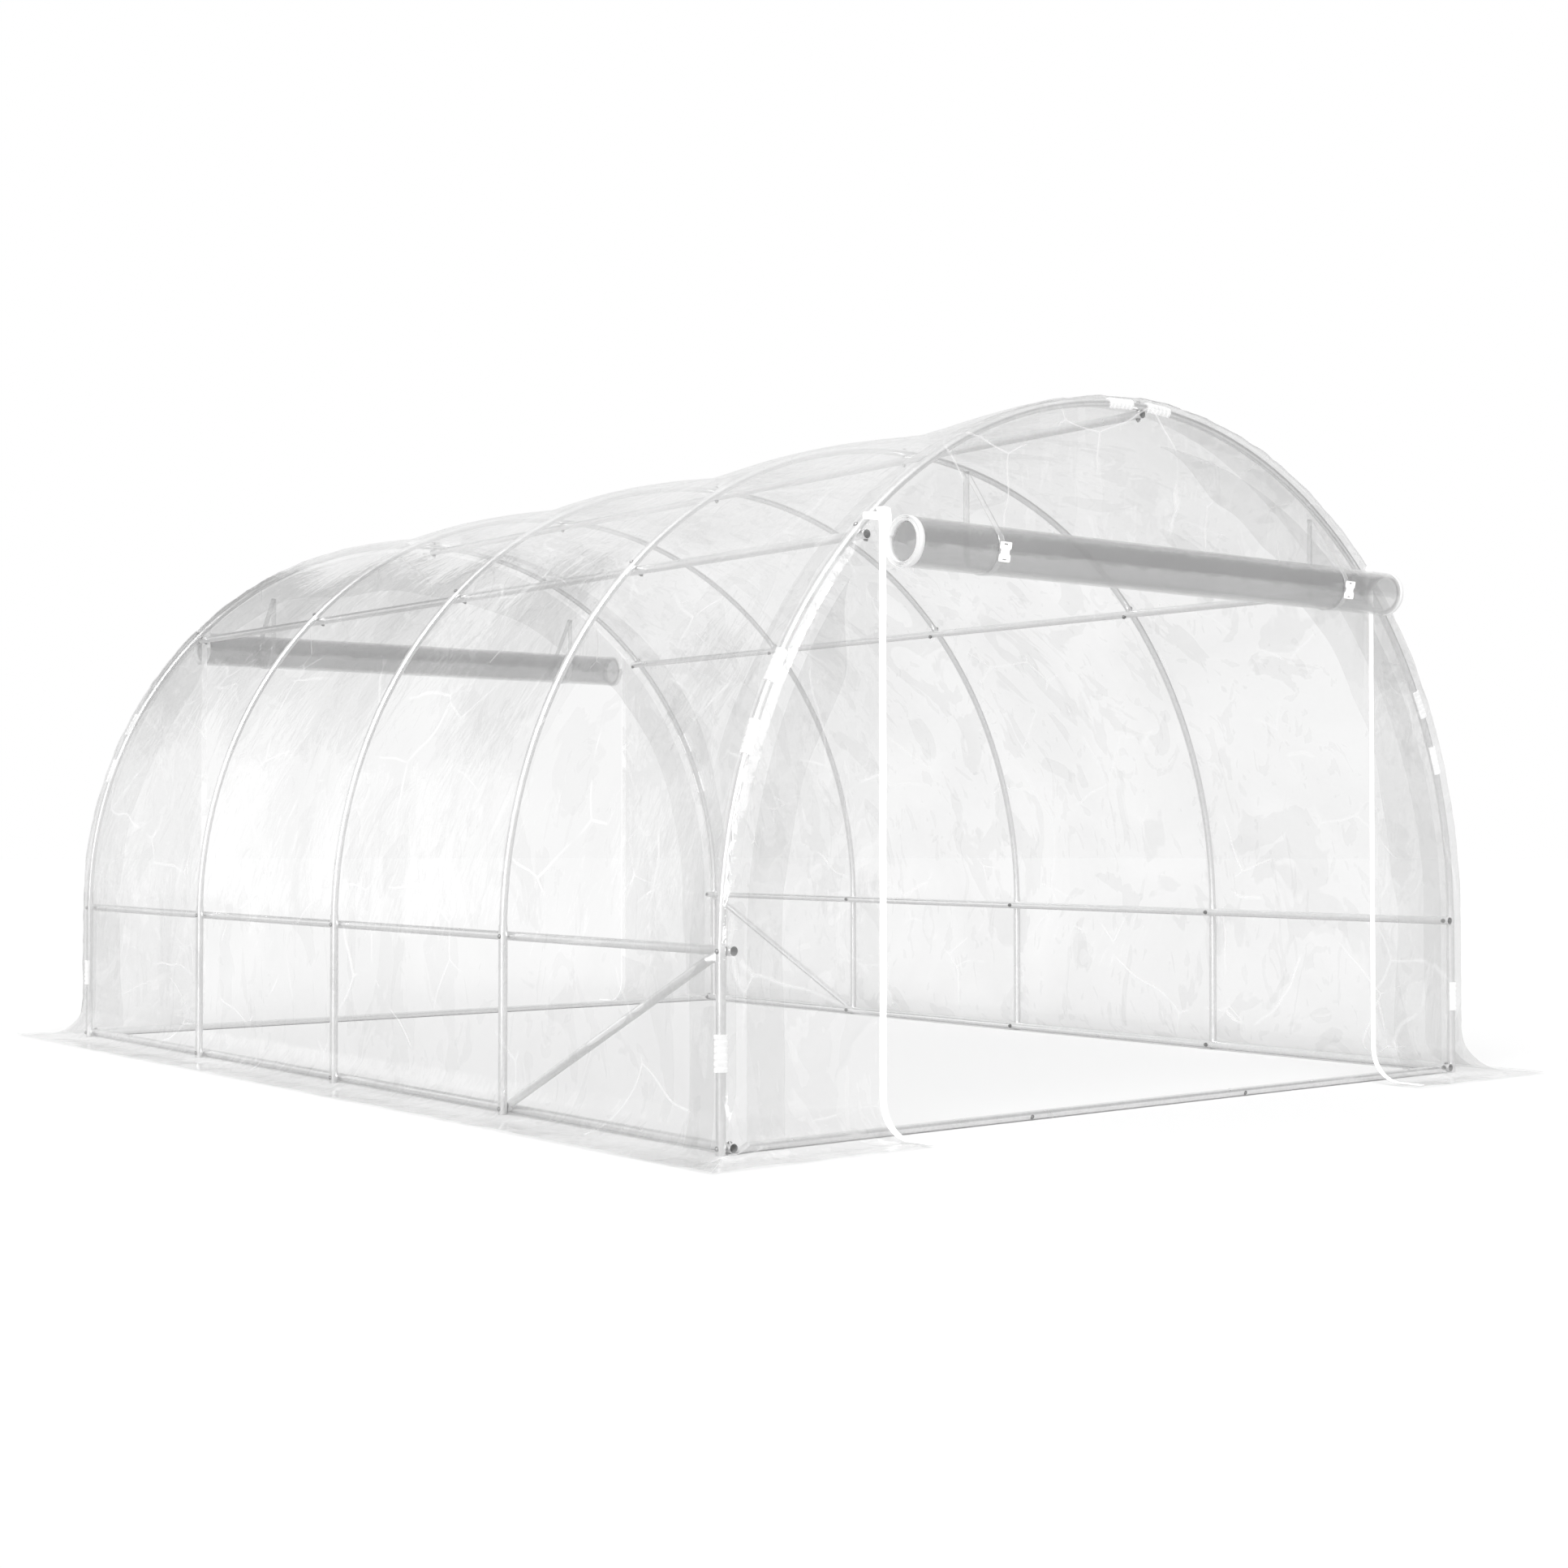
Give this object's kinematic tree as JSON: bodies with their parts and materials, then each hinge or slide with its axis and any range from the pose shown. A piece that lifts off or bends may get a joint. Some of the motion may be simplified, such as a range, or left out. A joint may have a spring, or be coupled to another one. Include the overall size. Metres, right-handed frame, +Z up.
{
  "type": "polytunnel greenhouse",
  "caption": "Walk-in polytunnel greenhouse: round steel tube hoops and rails under a clear film cover with ground skirts and a zipped door rolled up at each end.",
  "frame": {"origin": "centre of the floor plan, on the ground", "axes": "+X to the right seen from the front door, +Y from the front door to the rear door, +Z up"},
  "size_m": [3.3696, 4.424, 2.0063],
  "materials": {
    "steel": "galvanised, satin",
    "film": "clear soft film, glossy",
    "white_plastic": "smooth",
    "zip_tape": "woven",
    "strap_web": "translucent film strap"
  },
  "bodies": {
    "root": {"hoop_1_legs": "steel", "hoop_1_lower_arcs": "steel", "hoop_1_upper_arcs": "steel", "hoop_2_legs": "steel", "hoop_2_lower_arcs": "steel", "hoop_2_upper_arcs": "steel", "hoop_3_legs": "steel", "hoop_3_lower_arcs": "steel", "hoop_3_upper_arcs": "steel", "hoop_4_legs": "steel", "hoop_4_lower_arcs": "steel", "hoop_4_upper_arcs": "steel", "hoop_5_legs": "steel", "hoop_5_lower_arcs": "steel", "hoop_5_upper_arcs": "steel", "left_base_rail": "steel", "left_side_rail": "steel", "left_purlin": "steel", "left_wall_film": "film", "left_roof_film": "film", "right_base_rail": "steel", "right_side_rail": "steel", "right_purlin": "steel", "right_wall_film": "film", "right_roof_film": "film", "ridge_rail": "steel", "front_left_brace": "steel", "rear_right_brace": "steel", "front_sill_bar": "steel", "front_film_clips": "white_plastic", "front_film_left": "film", "front_film_right": "film", "front_door_head": "film", "front_door_zips": "zip_tape", "front_door_roll": "film", "front_door_straps": "strap_web", "front_strap_buckles": "white_plastic", "rear_sill_bar": "steel", "rear_film_clips": "white_plastic", "rear_film_left": "film", "rear_film_right": "film", "rear_door_head": "film", "rear_door_zips": "zip_tape", "rear_door_roll": "film", "rear_door_straps": "strap_web", "rear_strap_buckles": "white_plastic"}
  },
  "joints": []
}
